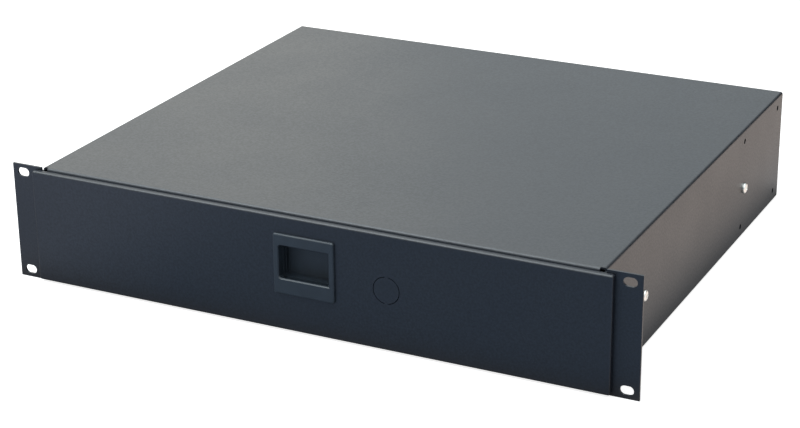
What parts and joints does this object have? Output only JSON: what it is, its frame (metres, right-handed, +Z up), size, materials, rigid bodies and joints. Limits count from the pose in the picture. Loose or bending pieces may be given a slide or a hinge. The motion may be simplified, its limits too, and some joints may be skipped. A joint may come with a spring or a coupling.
{
  "type": "sliding rack drawer",
  "caption": "Two-unit sliding drawer for a 19-inch rack: folded steel case with slotted ears, ball-bearing slides and a recessed finger latch in the drawer front.",
  "frame": {"origin": "centre of the four ear slots, on the rear faces of the ears, where they meet the rails of the rack", "axes": "+X to the right as seen from the front, +Y from the front to the rear of the rack, +Z up"},
  "size_m": [0.4826, 0.392, 0.0882],
  "materials": {
    "black_powder_coat": "fine satin black powder coat on steel",
    "bright_zinc": "bright zinc-plated steel",
    "polished_steel": "polished spring and bearing steel",
    "black_moulding": "black glass-filled nylon with a light satin",
    "black_rubber": "black soft rubber"
  },
  "bodies": {
    "enclosure": {"case_wrapper": "black_powder_coat", "case_floor": "black_powder_coat", "rear_panel": "black_powder_coat", "strike_plate": "black_powder_coat", "slide_outer_left": "bright_zinc", "slide_outer_right": "bright_zinc", "slide_screws_left": "bright_zinc", "slide_screws_right": "bright_zinc"},
    "drawer": {"drawer_tray": "black_powder_coat", "drawer_front": "black_powder_coat", "front_bumpers": "black_rubber", "slide_inner_left": "bright_zinc", "slide_inner_right": "bright_zinc", "tray_screws_left": "bright_zinc", "tray_screws_right": "bright_zinc", "latch_housing": "black_moulding", "latch_cover": "black_moulding", "latch_cover_screws": "bright_zinc", "latch_pin": "polished_steel", "latch_spring": "polished_steel"},
    "trigger": {"latch_trigger": "black_moulding"},
    "bolt": {"latch_bolt": "bright_zinc"},
    "middle_left": {"slide_middle_left": "bright_zinc"},
    "cage_outer_left": {"ball_cage_outer_left": "bright_zinc", "balls_outer_left": "polished_steel"},
    "cage_inner_left": {"ball_cage_inner_left": "bright_zinc", "balls_inner_left": "polished_steel"},
    "middle_right": {"slide_middle_right": "bright_zinc"},
    "cage_outer_right": {"ball_cage_outer_right": "bright_zinc", "balls_outer_right": "polished_steel"},
    "cage_inner_right": {"ball_cage_inner_right": "bright_zinc", "balls_inner_right": "polished_steel"}
  },
  "joints": [
    {"name": "drawer_slide", "type": "slide", "parent": "enclosure", "child": "drawer", "axis": [0, -1, 0], "range_m": [0, 0.35]},
    {"name": "middle_left_slide", "type": "slide", "parent": "enclosure", "child": "middle_left", "axis": [0, -1, 0], "range_m": [0, 0.175]},
    {"name": "cage_outer_left_slide", "type": "slide", "parent": "enclosure", "child": "cage_outer_left", "axis": [0, -1, 0], "range_m": [0, 0.0875]},
    {"name": "cage_inner_left_slide", "type": "slide", "parent": "enclosure", "child": "cage_inner_left", "axis": [0, -1, 0], "range_m": [0, 0.2625]},
    {"name": "middle_right_slide", "type": "slide", "parent": "enclosure", "child": "middle_right", "axis": [0, -1, 0], "range_m": [0, 0.175]},
    {"name": "cage_outer_right_slide", "type": "slide", "parent": "enclosure", "child": "cage_outer_right", "axis": [0, -1, 0], "range_m": [0, 0.0875]},
    {"name": "cage_inner_right_slide", "type": "slide", "parent": "enclosure", "child": "cage_inner_right", "axis": [0, -1, 0], "range_m": [0, 0.2625]},
    {"name": "trigger_hinge", "type": "hinge", "parent": "drawer", "child": "trigger", "pos_m": [0, 0.0055, 0.0232], "axis": [-1, 0, 0], "range_deg": [0, 20]},
    {"name": "bolt_slide", "type": "slide", "parent": "drawer", "child": "bolt", "axis": [0, 0, -1], "range_m": [0, 0.00416], "stiffness_N_per_m": 500, "springref_m": -0.004, "deforming": ["latch_spring"]}
  ],
  "couplings": [
    {"joint": "middle_left_slide", "follows": "drawer_slide", "ratio": 0.5},
    {"joint": "cage_outer_left_slide", "follows": "drawer_slide", "ratio": 0.25},
    {"joint": "cage_inner_left_slide", "follows": "drawer_slide", "ratio": 0.75},
    {"joint": "middle_right_slide", "follows": "drawer_slide", "ratio": 0.5},
    {"joint": "cage_outer_right_slide", "follows": "drawer_slide", "ratio": 0.25},
    {"joint": "cage_inner_right_slide", "follows": "drawer_slide", "ratio": 0.75},
    {"joint": "trigger_hinge", "follows": "bolt_slide", "rad_per_m": 83.8}
  ]
}
